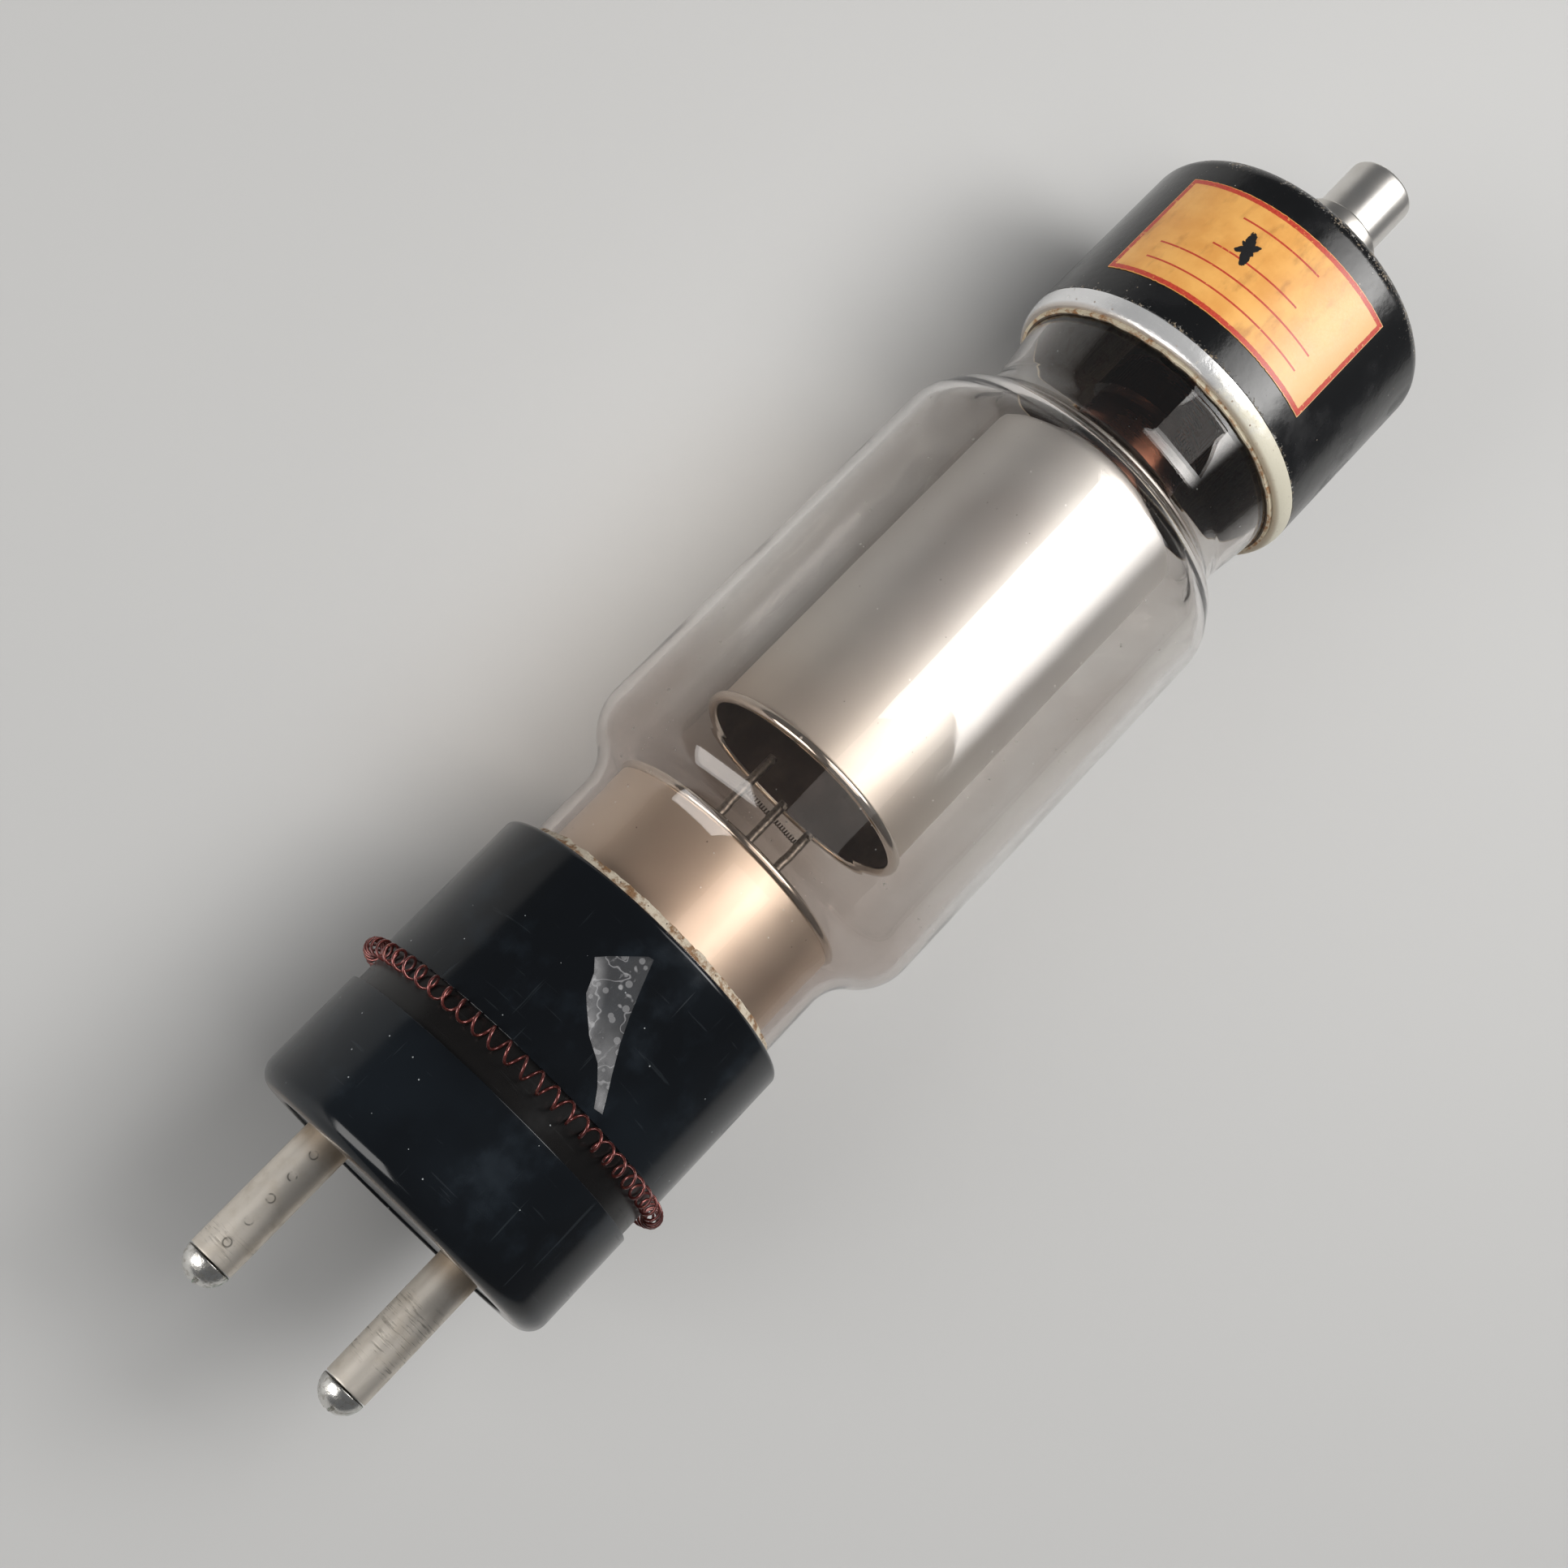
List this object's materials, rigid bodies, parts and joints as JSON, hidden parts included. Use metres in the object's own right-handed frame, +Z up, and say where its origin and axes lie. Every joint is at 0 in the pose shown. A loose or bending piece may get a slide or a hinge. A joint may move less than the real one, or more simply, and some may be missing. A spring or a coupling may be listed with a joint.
{
  "type": "high-voltage rectifier valve",
  "caption": "Two-pin glass rectifier valve with a black moulded base, a spring in its groove, a wide nickel anode and a black metal cap with a top terminal.",
  "frame": {"origin": "middle of the base's bottom face, on the tube's axis", "axes": "+X along the tube from the base to the anode cap, the two contact pins lie in the XY plane and point to -X, +Z up with the tube lying on its side"},
  "size_m": [0.2695, 0.0636, 0.0636],
  "materials": {
    "phenolic": "black phenolic moulding, glossy with fine scratches",
    "pin_nickel": "nickel plate over brass, satin with wear rings",
    "tip_solder": "bright tinned metal",
    "enamelled_copper": "copper wire under dark red enamel",
    "base_cement": "matt aged cement",
    "hook_up_copper": "tinned copper wire",
    "envelope_glass": "clear hard glass with a slight smoky tint",
    "stem_glass": "clear glass with a slight green tint",
    "seal_lead": "dark drawn seal wire",
    "shield_nickel": "satin nickel sheet",
    "anode_nickel": "matt blasted nickel sheet",
    "bead_nickel": "bright rolled nickel edge",
    "bushing_ceramic": "white fired ceramic",
    "post_molybdenum": "dull grey drawn rod",
    "filament_tungsten": "grey drawn tungsten wire",
    "seal_copper": "oxidised copper",
    "cap_japan": "black japanned steel, worn at the edges",
    "rim_tin": "bright tinned ring",
    "cap_cement": "cream cement with rust specks",
    "terminal_nickel": "satin nickel plate",
    "label_paper": "aged varnished paper with a red border"
  },
  "bodies": {
    "root": {"base_shell": "phenolic", "base_plate": "phenolic", "contact_pin_a": "pin_nickel", "contact_pin_b": "pin_nickel", "pin_tip_a": "tip_solder", "pin_tip_b": "tip_solder", "garter_spring": "enamelled_copper", "base_cement": "base_cement", "base_wire_a": "hook_up_copper", "base_wire_b": "hook_up_copper", "glass_envelope": "envelope_glass", "cathode_stem": "stem_glass", "exhaust_tip": "stem_glass", "seal_lead_a": "seal_lead", "seal_lead_b": "seal_lead", "stem_collar": "shield_nickel", "shield_spider": "shield_nickel", "cathode_shield": "shield_nickel", "shield_rim": "bead_nickel", "focusing_disc": "shield_nickel", "post_bushings": "bushing_ceramic", "filament_post_a": "post_molybdenum", "filament_post_b": "post_molybdenum", "filament_post_mid": "post_molybdenum", "filament": "filament_tungsten", "anode_cup": "anode_nickel", "anode_rim": "bead_nickel", "anode_stud": "shield_nickel", "seal_cup": "seal_copper", "anode_stem": "stem_glass", "anode_lead": "hook_up_copper", "cap_shell": "cap_japan", "cap_rim": "rim_tin", "cap_cement": "cap_cement", "terminal_collar": "terminal_nickel", "anode_terminal": "terminal_nickel", "rating_label": "label_paper"}
  },
  "joints": []
}
